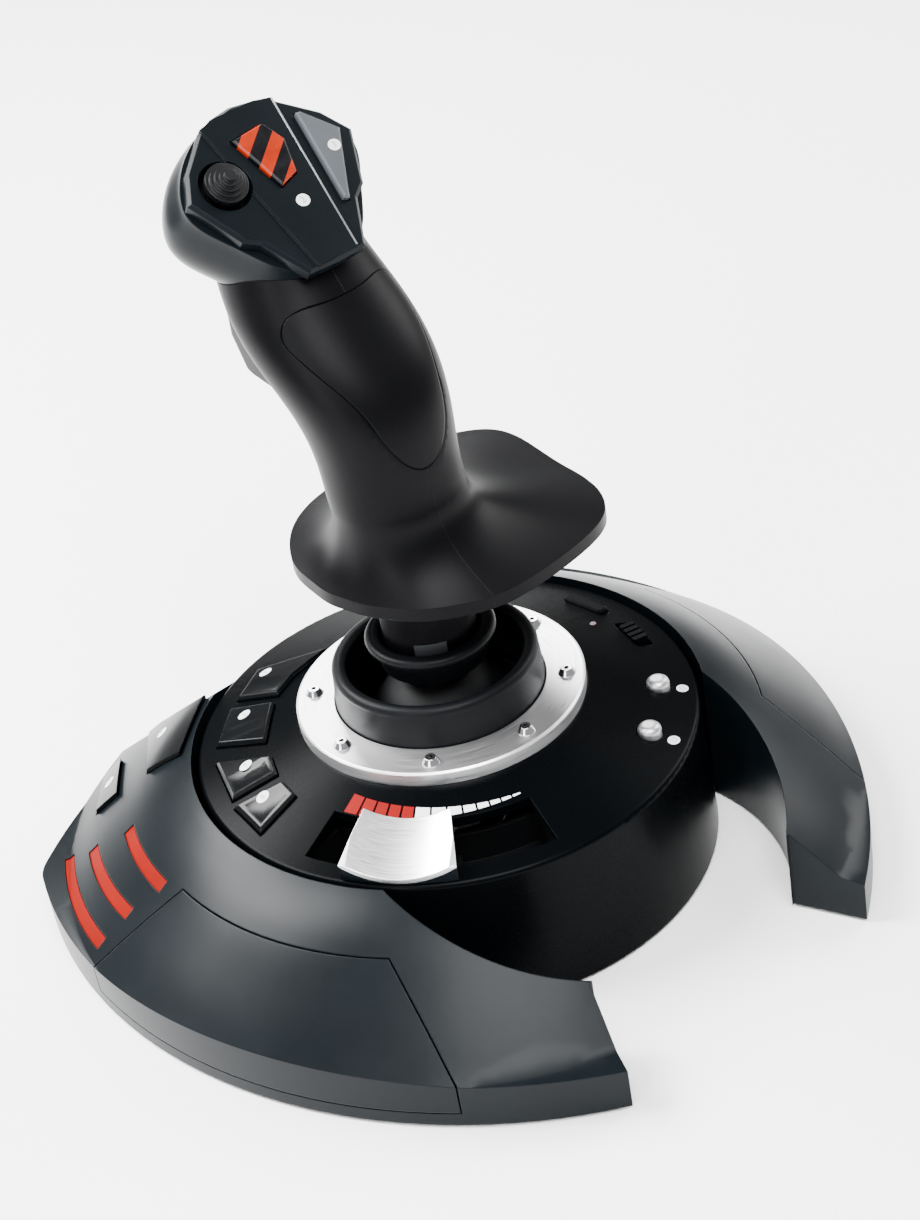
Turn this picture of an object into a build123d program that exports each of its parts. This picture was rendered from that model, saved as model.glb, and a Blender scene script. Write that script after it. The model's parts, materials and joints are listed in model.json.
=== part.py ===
from build123d import *
import os
from math import atan2, cos, degrees, hypot, radians, sin

# Flight joystick. Millimetres, +Z up, the floor is Z = 0.
# The origin is on the floor under the stick's axis. The user sits on the -Y side.
# Angles in the base are measured about that axis, from +X towards +Y.

# ---------------------------------------------------------------- driving dimensions
foot_h = 1.2                     # rubber feet lift the bottom plate by this much
plate_t = 3.0                    # bottom plate
floor_z = foot_h + plate_t       # top of the bottom plate

# plan outline of the base
side_arc_r = 143.6               # each flank is one arc
side_arc_x = 32.5                # its centre is across the middle line
side_arc_y = 10.7
front_corner = (95.0, 75.0)
front_apex_y = 103.0
corner_fillet = 12.0
tip_outer = (43.7, -110.5)       # tips of the two wings
tip_inner = (36.5, -91.9)
scoop_r = 58.5                   # open gap between the wings and the drum
scoop_y = -45.5

# drum with the controls
drum_r = 70.0
drum_foot_r = 71.5
rim_z = 42.4
land_r = 40.4                    # flat land under the bezel ring
land_z = 51.4
drum_wall = 2.6
neck_hole_r = 26.5
seam = 0.35                      # gap between the drum and the crescent cover

# crescent cover
dome_profile = [(70, 44.2), (82.4, 37.7), (94, 29.2), (106, 19.7), (113, 14.0)]
dome_brow = (150, 7.5)
dome_skin = 2.0                  # depth of the wing panels
dome_wall = 4.2                  # whole thickness
nose_y, nose_z, nose_slope = 70.0, 38.0, 0.8
panel_r = 87.0
panel_gap = 0.4
panel_foot_z = 5.0

# bezel ring and rubber collar
bezel_out, bezel_in = 40.0, 29.4
bezel_top = 55.4
screw_circle_r = 35.0
screw_count = 8
collar_lip_z = 67.0
collar_in = 24.3

# gimbal
pivot_z = 41.0
ring_in, ring_out, ring_h = 19.5, 24.0, 8.0
trunnion_r = 2.5
hub_pin_r = 2.0
bearing_gap = 0.08
cover_r = 21.5                   # ball-shaped dust cover about the pivot
shaft_r = 7.5
shaft_top = 104.0

# twisting joint
cup_r = 17.9
cup_in = 13.4
cup_top = 75.0
neck_r = 12.9
neck_foot_z = 68.6

# grip: centre height, centre y, half width, half depth
grip_sections = [
    (116, 2.4, 18.6, 16.0),
    (130, 4.3, 18.8, 16.5),
    (145, 8.4, 20.5, 19.0),
    (158, 17.5, 22.3, 20.5),
    (170, 26.8, 21.2, 19.6),
    (182, 33.5, 19.0, 17.5),
]
grip_squareness = 0.92
grip_wall = 3.8
panel_depth = 1.8
# hand rest: angle and reach from the stick's axis
rest_outline = [
    (0, 55), (14, 59), (28, 66), (40, 63), (60, 54), (83, 47.5), (107, 41),
    (130, 33.5), (155, 27.5), (180, 24.5), (205, 23.5), (230, 25), (255, 28),
    (280, 32.5), (305, 38), (322, 47), (333, 53), (346, 54.5),
]
rest_top, rest_bottom = 97.0, 93.2
flare_power = 2.15               # how fast the grip's foot spreads into the rest
flare_steps = 16
section_points = 24

# head: a plate square to the thumb, on a bulging housing
head_origin = (0, 41.6, 213.0)
head_normal = (0, -0.680, 0.733)
plate_outline = [(0, -3.5), (6.5, -2.6), (12, -0.4), (21.6, 7.8), (26.2, 15.4), (19.5, 29.7),
                 (15.4, 32.5), (9.0, 44.6), (0, 45.0)]
plate_depth = 4.2
ridge_top, ridge_bottom = 12.0, 6.3
ridge_h = 0.6
housing_outline = [(0, -3.6), (12.6, -0.2), (22.5, 8), (26.4, 16.5), (20.5, 29), (11.5, 40.5), (0, 44)]
housing_sections = [(0.0, 1.0), (-8.0, 1.05), (-15.0, 1.03), (-20.0, 0.90), (-23.0, 0.68)]
housing_mid = 21.0
hat_centre = (-14.5, 15.0)
hat_r = 5.6
striped_outline = [(-6.6, 5.4), (4.4, 4.4), (7.2, 11.0), (4.4, 20.2), (-2.0, 22.2)]
grey_outline = [(13.8, 5.6), (15.8, 5.8), (22.8, 14.4), (12.6, 32.6), (10.6, 31.8)]
button_gap = 0.35

# throttle
slot_in, slot_out = 50.6, 65.0
slot_start, slot_end = -166.0, -105.0
lever_mid = -141.6
lever_half = 12.9
lever_in, lever_out = 51.6, 69.4
saddle_r = 36.0
saddle_low = 2.2                 # lowest line of the saddle above the drum's cone
horn_h = 5.4                     # the saddle's corners above the cone
tray_floor_z = 31.0

# keys: corners as radius and angle
drum_keys = {
    "base_button_5": [(43.6, 95.5), (63.5, 109), (62.7, 122.6), (48, 125.2), (46.7, 114)],
    "base_button_6": [(63.5, 126.0), (48.1, 128.6), (49.8, 149.8), (64.7, 141.1)],
    "base_button_7": [(65.1, 147.1), (49.5, 157), (50.7, 166.9), (64.5, 164.4)],
    "base_button_8": [(65.2, 166.4), (51, 170.4), (51.7, 179.3), (65.6, 179.8)],
}
dome_keys = {
    "base_button_9": [(74.8, 117.9), (94.2, 121.4), (86.6, 137.6), (75.2, 139.4)],
    "base_button_10": [(96.9, 136.4), (102.6, 123.6), (107.6, 126.2), (105.0, 136.4)],
}
key_proud = 1.5
key_travel = 1.0
silver_r = 59.0
silver_angles = {"side_button_11": -41.4, "side_button_12": -61.7}
silver_radius = 3.25
control_r = 60.0
mapping_angle = 5.3
mode_angle = -15.2

# stripes: mean radius at the two ends, and the two angles
stripes = [(92.2, 149.0, 90.0, 168.6), (104.2, 145.0, 99.8, 165.7), (113.0, 141.5, 108.8, 164.6)]
stripe_w = 3.0


# ---------------------------------------------------------------- helpers
def at(radius, angle):
    """Point in plan at a radius and an angle in degrees."""
    return (radius * cos(radians(angle)), radius * sin(radians(angle)))


def cone_z(radius):
    """Height of the drum's conical top."""
    slope = (land_z - rim_z) / (drum_r - land_r)
    return land_z - slope * (radius - land_r)


def save(builder, name):
    """Label a finished piece and write it."""
    builder.part.label = name
    export_step(builder.part, "parts/" + name + ".step")


def prism(points, low, high, grow=0.0):
    """Upright prism over a plan polygon, grown or shrunk by an offset."""
    with BuildPart() as body:
        with BuildSketch(Plane.XY.offset(low)):
            with BuildLine():
                Polyline(*points, close=True)
            make_face()
            if grow:
                offset(amount=grow, kind=Kind.INTERSECTION)
        extrude(amount=high - low)
    return body.part


def sector(r_in, r_out, start, end, low, high):
    """Upright block between two radii and two angles."""
    middle = (start + end) / 2
    with BuildPart() as body:
        with BuildSketch(Plane.XY.offset(low)):
            with BuildLine():
                ThreePointArc(at(r_in, start), at(r_in, middle), at(r_in, end))
                Line(at(r_in, end), at(r_out, end))
                ThreePointArc(at(r_out, end), at(r_out, middle), at(r_out, start))
                Line(at(r_out, start), at(r_in, start))
            make_face()
        extrude(amount=high - low)
    return body.part


def turned(profile):
    """Solid of revolution about the stick's axis from (radius, height) corners."""
    with BuildPart() as body:
        with BuildSketch(Plane.XZ):
            with BuildLine():
                Polyline(*profile, close=True)
            make_face()
        revolve(axis=Axis.Z)
    return body.part


def tube(r_out, r_in, low, high):
    """Upright tube about the stick's axis."""
    return turned([(r_in, low), (r_out, low), (r_out, high), (r_in, high)])


# ---------------------------------------------------------------- base volumes
def plan_volume(inset, hole_r, low, high):
    """Crescent in plan, inset all round, less a round hole about the stick's axis."""
    sagitta = front_apex_y - front_corner[1]
    front_r = (front_corner[0] ** 2 + sagitta ** 2) / (2 * sagitta)
    reach = 3
    far_x = tip_inner[0] + reach * (tip_outer[0] - tip_inner[0]) + inset
    far_y = tip_inner[1] + reach * (tip_outer[1] - tip_inner[1])
    near_x, near_y = tip_inner[0] + inset, tip_inner[1]
    with BuildPart() as body:
        with BuildSketch(Plane.XY.offset(low)) as plan:
            with Locations((side_arc_x, side_arc_y)):
                Circle(side_arc_r - inset)
            with Locations((-side_arc_x, side_arc_y)):
                Circle(side_arc_r - inset, mode=Mode.INTERSECT)
            with Locations((0, front_apex_y - front_r)):
                Circle(front_r - inset, mode=Mode.INTERSECT)
            fillet(plan.vertices().group_by(Axis.Y)[-1], corner_fillet - inset)
            with BuildLine():
                Polyline((near_x, near_y), (far_x, far_y), (-far_x, far_y), (-near_x, near_y), close=True)
            make_face(mode=Mode.SUBTRACT)
            with Locations((0, scoop_y)):
                Circle(scoop_r + inset, mode=Mode.SUBTRACT)
            if hole_r:
                Circle(hole_r, mode=Mode.SUBTRACT)
        extrude(amount=high - low)
    return body.part


def dome_volume(inset, hole_r, low):
    """Solid under the crescent's top, inset by a wall thickness."""
    drop = inset * 1.25
    with BuildPart() as body:
        with BuildSketch(Plane.XZ):
            with BuildLine():
                top = [(r, z - drop) for r, z in dome_profile]
                Line((55, low), (55, top[0][1] + 5.6))
                Line((55, top[0][1] + 5.6), top[0])
                Spline(*top, tangents=[(1, -0.42), (1, -0.75)])
                Line(top[-1], (dome_brow[0], dome_brow[1] - drop))
                Line((dome_brow[0], dome_brow[1] - drop), (dome_brow[0], low))
                Line((dome_brow[0], low), (55, low))
            make_face()
        revolve(axis=Axis.Z)
        add(plan_volume(inset, hole_r, low, 70), mode=Mode.INTERSECT)
        nose = Plane(origin=(0, nose_y, nose_z - drop), x_dir=(1, 0, 0), z_dir=(0, nose_slope, 1))
        with BuildSketch(nose):
            Rectangle(300, 160)
        extrude(amount=60, mode=Mode.SUBTRACT)
    return body.part


def wing_region(side, gap, low):
    """Upright block over one wing panel; side is -1 on the left and +1 on the right."""
    def corner(radius, angle):
        x, y = at(radius, angle)
        return (-side * x, y)

    with BuildPart() as body:
        with BuildSketch(Plane.XY.offset(low)):
            with BuildLine():
                ThreePointArc(corner(panel_r, 173.3), corner(panel_r, 196), corner(panel_r, 218.2))
                Line(corner(panel_r, 218.2), corner(112.6, 227.8))
                Line(corner(112.6, 227.8), corner(150, 231.5))
                Line(corner(150, 231.5), corner(190, 196))
                Line(corner(190, 196), corner(150, 161.5))
                Line(corner(150, 161.5), corner(112.4, 166.6))
                Line(corner(112.4, 166.6), corner(panel_r, 173.3))
            make_face()
            if gap:
                offset(amount=-gap, kind=Kind.INTERSECTION)
        extrude(amount=60)
    return body.part


def stripe_block(index, low, high, grow=0.0):
    """Upright block over one coloured stripe."""
    r0, a0, r1, a1 = stripes[index]
    half = stripe_w / 2 + grow
    a0, a1 = a0 - grow, a1 + grow
    am, rm = (a0 + a1) / 2, (r0 + r1) / 2
    with BuildPart() as body:
        with BuildSketch(Plane.XY.offset(low)):
            with BuildLine():
                ThreePointArc(at(r0 + half, a0), at(rm + half, am), at(r1 + half, a1))
                Line(at(r1 + half, a1), at(r1 - half, a1))
                ThreePointArc(at(r1 - half, a1), at(rm - half, am), at(r0 - half, a0))
                Line(at(r0 - half, a0), at(r0 + half, a0))
            make_face()
        extrude(amount=high - low)
    return body.part


os.makedirs("parts", exist_ok=True)
from_base = (Align.CENTER, Align.CENTER, Align.MIN)

# ---------------------------------------------------------------- base: plate, feet, covers
screw_r = 1.25
inlet_z = 8.4                    # height of the cable inlet's axis
boss_spots = [(-92, 52), (92, 52), (-96, -40), (96, -40), (-56, -92), (56, -92)]
foot_spots = [(-84, 66), (84, 66), (-97, -20), (97, -20), (-47, -96), (47, -96), (0, 86), (0, 0)]

with BuildPart() as base_bottom:
    add(plan_volume(dome_wall + 0.2, 0, foot_h, floor_z))
    add(tube(drum_foot_r + 0.3, drum_foot_r - drum_wall - 0.5, 0, 20), mode=Mode.SUBTRACT)
    add(turned([(0, foot_h), (drum_foot_r - drum_wall - 0.5, foot_h),
                (drum_foot_r - drum_wall - 0.5, floor_z), (0, floor_z)]))
    with Locations((0, 0, foot_h)):
        with Locations(*boss_spots):
            Hole(1.7)
save(base_bottom, "base_bottom")

with BuildPart() as rubber_feet:
    with BuildSketch(Plane.XY):
        with Locations(*foot_spots):
            Circle(5.5)
    extrude(amount=foot_h)
save(rubber_feet, "rubber_feet")

skin_outer = dome_volume(0, drum_foot_r + seam, foot_h)
skin_middle = dome_volume(dome_skin, 60, foot_h - 1)
skin_inner = dome_volume(dome_wall, 60, foot_h - 1)

with BuildPart() as panel_recesses:
    for side in (-1, 1):
        add(wing_region(side, 0, panel_foot_z))
    add(skin_middle, mode=Mode.SUBTRACT)

with BuildPart() as stripe_pockets:
    for index in range(len(stripes)):
        add(stripe_block(index, 6, 50, 0.1))
    add(skin_middle, mode=Mode.SUBTRACT)

with BuildPart() as screw_bosses:
    with BuildSketch(Plane.XY.offset(floor_z)):
        with Locations(*boss_spots):
            Circle(3.6)
    extrude(amount=40)
    add(skin_middle, mode=Mode.INTERSECT)

with BuildPart() as crescent_cover:
    add(skin_outer)
    add(skin_inner, mode=Mode.SUBTRACT)
    add(panel_recesses.part, mode=Mode.SUBTRACT)
    add(stripe_pockets.part, mode=Mode.SUBTRACT)
    for corners in dome_keys.values():
        add(prism([at(r, a) for r, a in corners], 0, 60), mode=Mode.SUBTRACT)
    add(screw_bosses.part)
    with BuildSketch(Plane.XY.offset(floor_z)):
        with Locations(*boss_spots):
            Circle(screw_r)
    extrude(amount=6.5, mode=Mode.SUBTRACT)
    with BuildSketch(Plane.XZ.offset(-front_apex_y - 5)):
        with Locations((0, inlet_z)):
            Circle(3.6)
    extrude(amount=14, mode=Mode.SUBTRACT)
save(crescent_cover, "crescent_cover")

for side, name in ((-1, "left_wing_panel"), (1, "right_wing_panel")):
    with BuildPart() as wing_panel:
        add(dome_volume(0, drum_foot_r + seam, panel_foot_z + panel_gap))
        add(wing_region(side, panel_gap, panel_foot_z + panel_gap), mode=Mode.INTERSECT)
        add(skin_middle, mode=Mode.SUBTRACT)
    save(wing_panel, name)

with BuildPart() as stripe_inlays:
    for index in range(len(stripes)):
        add(stripe_block(index, 6, 50))
    add(dome_volume(0.25, 60, 4), mode=Mode.INTERSECT)
    add(skin_middle, mode=Mode.SUBTRACT)
save(stripe_inlays, "stripe_inlays")

with BuildPart() as base_screws:
    for x, y in boss_spots:
        with BuildSketch(Plane.XY.offset(foot_h - 0.9)):
            with Locations((x, y)):
                Circle(2.8)
        extrude(amount=0.9)
        with BuildSketch(Plane.XY.offset(foot_h)):
            with Locations((x, y)):
                Circle(screw_r)
        extrude(amount=9)
save(base_screws, "base_screws")

with BuildPart() as ballast_weights:
    for side in (-1, 1):
        with BuildSketch(Plane.XY.offset(floor_z)):
            with Locations(Location((side * 81, -56), side * 62)):
                RectangleRounded(36, 12, 3)
        extrude(amount=6)
save(ballast_weights, "ballast_weights")

with BuildPart() as cable_inlet:
    with BuildSketch(Plane.XZ.offset(-front_apex_y + 0.4)):
        with Locations((0, inlet_z)):
            Circle(3.55)
            Circle(2.2, mode=Mode.SUBTRACT)
    extrude(amount=9)
save(cable_inlet, "cable_inlet")

# ---------------------------------------------------------------- drum housing
with BuildPart() as control_housing:
    with BuildSketch(Plane.XZ):
        with BuildLine():
            edge = (drum_r - 1.1, cone_z(drum_r - 1.1))
            wall_top = (drum_r - drum_wall, cone_z(drum_r - drum_wall) - drum_wall)
            Line((drum_foot_r, foot_h), (drum_r, rim_z - 1.2))
            ThreePointArc((drum_r, rim_z - 1.2), (drum_r - 0.3, rim_z - 0.25), edge)
            Line(edge, (land_r, land_z))
            Line((land_r, land_z), (neck_hole_r, land_z))
            Line((neck_hole_r, land_z), (neck_hole_r, land_z - drum_wall))
            Line((neck_hole_r, land_z - drum_wall), (land_r, land_z - drum_wall))
            Line((land_r, land_z - drum_wall), wall_top)
            Line(wall_top, (drum_foot_r - drum_wall, foot_h))
            Line((drum_foot_r - drum_wall, foot_h), (drum_foot_r, foot_h))
        make_face()
    revolve(axis=Axis.Z)
    for corners in drum_keys.values():
        add(prism([at(r, a) for r, a in corners], 30, 60), mode=Mode.SUBTRACT)
    add(sector(slot_in, slot_out, slot_start, slot_end, 30, 60), mode=Mode.SUBTRACT)
    for angle in silver_angles.values():
        with BuildSketch(Plane.XY.offset(30)):
            with Locations(at(silver_r, angle)):
                Circle(silver_radius + button_gap)
        extrude(amount=30, mode=Mode.SUBTRACT)
    with BuildSketch(Plane.XY.offset(30)):
        with Locations(Location(at(control_r, mapping_angle), mapping_angle + 90)):
            RectangleRounded(15.0, 4.4, 1.6)
        with Locations(Location(at(control_r, mode_angle), mode_angle + 90)):
            RectangleRounded(14.0, 5.4, 1.2)
        with Locations(at(52.5, -5.9)):
            Circle(1.05)
    extrude(amount=30, mode=Mode.SUBTRACT)
save(control_housing, "control_housing")

with BuildPart() as bezel_ring:
    with BuildSketch(Plane.XZ):
        with BuildLine():
            Polyline((bezel_in, land_z), (bezel_out, land_z), (bezel_out, bezel_top - 0.5),
                     (bezel_out - 0.5, bezel_top), (bezel_in, bezel_top), close=True)
        make_face()
    revolve(axis=Axis.Z)
    with BuildSketch(Plane.XY.offset(land_z)):
        with PolarLocations(screw_circle_r, screw_count):
            Circle(1.3)
    extrude(amount=6, mode=Mode.SUBTRACT)
save(bezel_ring, "bezel_ring")

with BuildPart() as ring_screws:
    with PolarLocations(screw_circle_r, screw_count):
        with Locations((0, 0, land_z)):
            Cylinder(1.25, bezel_top - land_z, align=from_base)
        with Locations((0, 0, bezel_top)):
            Cone(2.5, 1.5, 1.7, align=from_base)
save(ring_screws, "ring_screws")

with BuildPart() as rubber_collar:
    with BuildSketch(Plane.XZ):
        with BuildLine():
            Line((collar_in, land_z), (29.3, land_z))
            Line((29.3, land_z), (28.4, collar_lip_z - 2.4))
            ThreePointArc((28.4, collar_lip_z - 2.4), (26.3, collar_lip_z), (collar_in, collar_lip_z - 2.2))
            Line((collar_in, collar_lip_z - 2.2), (collar_in, land_z))
        make_face()
    revolve(axis=Axis.Z)
save(rubber_collar, "rubber_collar")

# ---------------------------------------------------------------- keys in the base
key_floor_z = 35.0
for name, corners in drum_keys.items():
    outline = [at(r, a) for r, a in corners]
    with BuildPart() as key:
        add(prism(outline, key_floor_z, 56, -button_gap))
        add(turned([(30, 20), (80, 20), (80, cone_z(80) + key_proud), (30, cone_z(30) + key_proud)]),
            mode=Mode.INTERSECT)
        chamfer(key.faces().sort_by(Axis.Z)[-1].edges(), 0.8)
        add(prism(outline, key_floor_z - 1.2, key_floor_z, 0.5))
    save(key, name)

key_foot = {"base_button_9": 13.0, "base_button_10": 9.0}
for name, corners in dome_keys.items():
    outline = [at(r, a) for r, a in corners]
    with BuildPart() as key:
        add(prism(outline, key_foot[name], 56, -button_gap))
        add(dome_volume(-key_proud * 0.8, 60, 2), mode=Mode.INTERSECT)
        add(prism(outline, key_foot[name] - 1.2, key_foot[name], -button_gap / 2))
    save(key, name)

for name, angle in silver_angles.items():
    spot = at(silver_r, angle)
    crown = cone_z(silver_r) + 2.6
    with BuildPart() as silver_button:
        with BuildSketch(Plane.XY.offset(38)):
            with Locations(spot):
                Circle(silver_radius)
        extrude(amount=crown - 38)
        fillet(silver_button.faces().sort_by(Axis.Z)[-1].edges(), 1.9)
        with BuildSketch(Plane.XY.offset(36.8)):
            with Locations(spot):
                Circle(silver_radius + 1.0)
        extrude(amount=1.2)
    save(silver_button, name)

with BuildPart() as mapping_button:
    with BuildSketch(Plane.XY.offset(38)):
        with Locations(Location(at(control_r, mapping_angle), mapping_angle + 90)):
            RectangleRounded(15.0 - 2 * button_gap, 4.4 - 2 * button_gap, 1.3)
    extrude(amount=cone_z(control_r) + 1.2 - 38)
    chamfer(mapping_button.faces().sort_by(Axis.Z)[-1].edges(), 0.6)
    with BuildSketch(Plane.XY.offset(36.8)):
        with Locations(Location(at(control_r, mapping_angle), mapping_angle + 90)):
            RectangleRounded(16.4, 5.8, 1.3)
    extrude(amount=1.2)
save(mapping_button, "mapping_button")

mode_spot = Location(at(control_r, mode_angle), mode_angle + 90)
with BuildPart() as mode_switch_body:
    with BuildSketch(Plane.XY.offset(34.5)):
        with Locations(mode_spot):
            RectangleRounded(17.5, 8.0, 1.0)
    extrude(amount=4.3)
save(mode_switch_body, "mode_switch_body")

with BuildPart() as mode_switch:
    with BuildSketch(Plane.XY.offset(39.1)):
        with Locations(mode_spot):
            RectangleRounded(9.0, 4.6, 0.8)
    extrude(amount=cone_z(control_r) + 1.2 - 39.1)
    for step in (-2.4, 0.0, 2.4):
        with BuildSketch(Plane.XY.offset(cone_z(control_r) + 0.5)):
            with Locations(mode_spot):
                with Locations((step, 0)):
                    Rectangle(0.8, 5)
        extrude(amount=1, mode=Mode.SUBTRACT)
save(mode_switch, "mode_switch")

with BuildPart() as status_led:
    with BuildSketch(Plane.XY.offset(42)):
        with Locations(at(52.5, -5.9)):
            Circle(1.0)
    extrude(amount=cone_z(52.5) + 0.2 - 42)
save(status_led, "status_led")

# ---------------------------------------------------------------- boards behind the keys
board_z = 30.0
with BuildPart() as button_board:
    add(sector(44, 66.5, 90, 184, board_z, board_z + 1.6))
    add(sector(44, 66.5, -72, 18, board_z, board_z + 1.6))
    add(sector(76, 102, 116, 141, floor_z + 0.3, floor_z + 1.6))
save(button_board, "button_board")

switch_spots = {
    "base_button_5": at(57.5, 115.5), "base_button_6": at(57, 136), "base_button_7": at(57.5, 159),
    "base_button_8": at(58.5, 174.5), "base_button_9": at(81, 129), "base_button_10": at(104, 130.5),
}
for name, angle in silver_angles.items():
    switch_spots[name] = at(silver_r, angle)
switch_spots["mapping_button"] = at(control_r, mapping_angle)
switch_top = {"base_button_9": 13.0 - 1.2, "base_button_10": 9.0 - 1.2}
drum_switch_top = {"side_button_11": 36.8, "side_button_12": 36.8, "mapping_button": 36.8}
with BuildPart() as tact_switches:
    for name, spot in switch_spots.items():
        on_dome = name in dome_keys
        low = floor_z + 1.6 if on_dome else board_z + 1.6
        top = switch_top[name] if on_dome else drum_switch_top.get(name, key_floor_z - 1.2)
        top = top - key_travel - 0.15
        if top - low < 0.6:
            continue
        with BuildSketch(Plane.XY.offset(low)):
            with Locations(spot):
                Rectangle(5, 5)
        extrude(amount=(top - low) * 0.6)
        with BuildSketch(Plane.XY.offset(low)):
            with Locations(spot):
                Circle(1.5)
        extrude(amount=top - low)
save(tact_switches, "tact_switches")

with BuildPart() as main_board:
    with BuildSketch(Plane.XY.offset(floor_z + 4)):
        with Locations((0, 48)):
            Rectangle(64, 20)
    extrude(amount=1.6)
    with BuildSketch(Plane.XY.offset(floor_z + 5.6)):
        with Locations((-12, 48)):
            Rectangle(12, 12)
        with Locations((14, 50)):
            Rectangle(9, 6)
    extrude(amount=2.2)
    with BuildSketch(Plane.XY.offset(floor_z)):
        with Locations((-28, 54), (28, 54), (-28, 42), (28, 42)):
            Circle(2)
    extrude(amount=4)
save(main_board, "main_board")

# ---------------------------------------------------------------- throttle
with BuildPart() as throttle_tray:
    tray_start, tray_end = slot_start - 3.4, slot_end + 3.4
    add(sector(46.4, 67.0, tray_start, tray_end, tray_floor_z - 1.5, 40.2))
    add(sector(48.0, 65.9, tray_start + 1.6, tray_end - 1.6, tray_floor_z, 42), mode=Mode.SUBTRACT)
    for angle in (tray_start + 8, tray_end - 8):
        with BuildSketch(Plane.XY.offset(floor_z)):
            with Locations(at(57, angle)):
                Circle(3)
        extrude(amount=tray_floor_z - 1.5 - floor_z)
save(throttle_tray, "throttle_tray")

with BuildPart() as throttle_carrier:
    add(sector(48.4, 65.4, lever_mid - 13.6, lever_mid + 13.6, tray_floor_z + 0.3, tray_floor_z + 3))
    add(sector(52.0, 63.4, lever_mid - 11, lever_mid + 11, tray_floor_z + 3, cone_z(63.4) + 0.6))
save(throttle_carrier, "throttle_carrier")

cone_tilt = degrees(atan2(land_z - rim_z, drum_r - land_r))
lever_foot = turned([(40, cone_z(40) + 0.6), (75, cone_z(75) + 0.6), (75, 62), (40, 62)])
horn_limit = turned([(40, 40), (75, 40), (75, cone_z(75) + horn_h), (40, cone_z(40) + horn_h)])
saddle_mid = (lever_in + lever_out) / 2


def saddle_cylinder(radius):
    """Cylinder lying along the lever's radial line, tilted with the drum's cone."""
    x, y = at(saddle_mid, lever_mid)
    lift = cone_z(saddle_mid) + saddle_low + saddle_r / cos(radians(cone_tilt))
    line = Plane(origin=(x, y, lift), x_dir=(-y, x, 0),
                 z_dir=(x / saddle_mid, y / saddle_mid, -sin(radians(cone_tilt)) / cos(radians(cone_tilt))))
    with BuildPart() as body:
        with BuildSketch(line.offset(-25)):
            Circle(radius)
        extrude(amount=50)
    return body.part


with BuildPart() as throttle_base:
    add(sector(lever_in, lever_out, lever_mid - lever_half, lever_mid + lever_half, 40, 56))
    add(lever_foot, mode=Mode.INTERSECT)
    add(saddle_cylinder(saddle_r + 1.4), mode=Mode.SUBTRACT)
save(throttle_base, "throttle_base")

with BuildPart() as throttle_cap:
    add(sector(lever_in, lever_out, lever_mid - lever_half, lever_mid + lever_half, 40, 60))
    add(saddle_cylinder(saddle_r + 1.4), mode=Mode.INTERSECT)
    add(saddle_cylinder(saddle_r), mode=Mode.SUBTRACT)
    add(horn_limit, mode=Mode.INTERSECT)
save(throttle_cap, "throttle_cap")

# ---------------------------------------------------------------- gimbal
pillar_x = 28.6
with BuildPart() as gimbal_frame:
    add(tube(34, 16, floor_z, floor_z + 3))
    for side in (-1, 1):
        with Locations((side * pillar_x, 0, floor_z)):
            Box(5, 13, 46.4 - floor_z, align=from_base)
    with Locations(Location((-40, 0, pivot_z), (0, 90, 0))):
        Cylinder(trunnion_r + bearing_gap, 80, align=from_base, mode=Mode.SUBTRACT)
save(gimbal_frame, "gimbal_frame")

with BuildPart() as pitch_ring:
    add(tube(ring_out, ring_in, pivot_z - ring_h / 2, pivot_z + ring_h / 2))
    for side in (-1, 1):
        with Locations(Location((side * (ring_out - 1), 0, pivot_z), (0, side * 90, 0))):
            Cylinder(trunnion_r, 9.0, align=from_base)
    with Locations(Location((0, -30, pivot_z), (-90, 0, 0))):
        Cylinder(hub_pin_r + bearing_gap, 60, align=from_base, mode=Mode.SUBTRACT)
save(pitch_ring, "pitch_ring")

with BuildPart() as stick_hub:
    add(tube(12, shaft_r, pivot_z - 6, pivot_z + 6))
    add(tube(14, shaft_r, pivot_z - 8, pivot_z - 6))
    for side in (-1, 1):
        with Locations(Location((0, side * 11, pivot_z), (-side * 90, 0, 0))):
            Cylinder(hub_pin_r, 12.6, align=from_base)
save(stick_hub, "stick_hub")

with BuildPart() as dust_cover:
    with BuildSketch(Plane.XZ):
        with BuildLine():
            reach = radians(60)
            start = radians(22.5)
            inner = cover_r - 1.5
            middle = (reach + start) / 2
            outer_arc = [(cover_r * sin(t), pivot_z + cover_r * cos(t)) for t in (start, middle, reach)]
            inner_arc = [(inner * sin(t), pivot_z + inner * cos(t)) for t in (reach, middle, start)]
            ThreePointArc(*outer_arc)
            Line(outer_arc[-1], inner_arc[0])
            ThreePointArc(*inner_arc)
            Line(inner_arc[-1], outer_arc[0])
        make_face()
    revolve(axis=Axis.Z)
    add(tube(9.5, shaft_r, pivot_z + 17.2, pivot_z + 20.0))
save(dust_cover, "dust_cover")

with BuildPart() as stick_shaft:
    add(tube(shaft_r, 4.5, pivot_z - 8, shaft_top))
    add(tube(9.6, shaft_r - 0.5, shaft_top + 0.4, shaft_top + 2.0))
    add(tube(shaft_r - 0.5, 4.5, shaft_top, shaft_top + 2.0))
save(stick_shaft, "stick_shaft")

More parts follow.
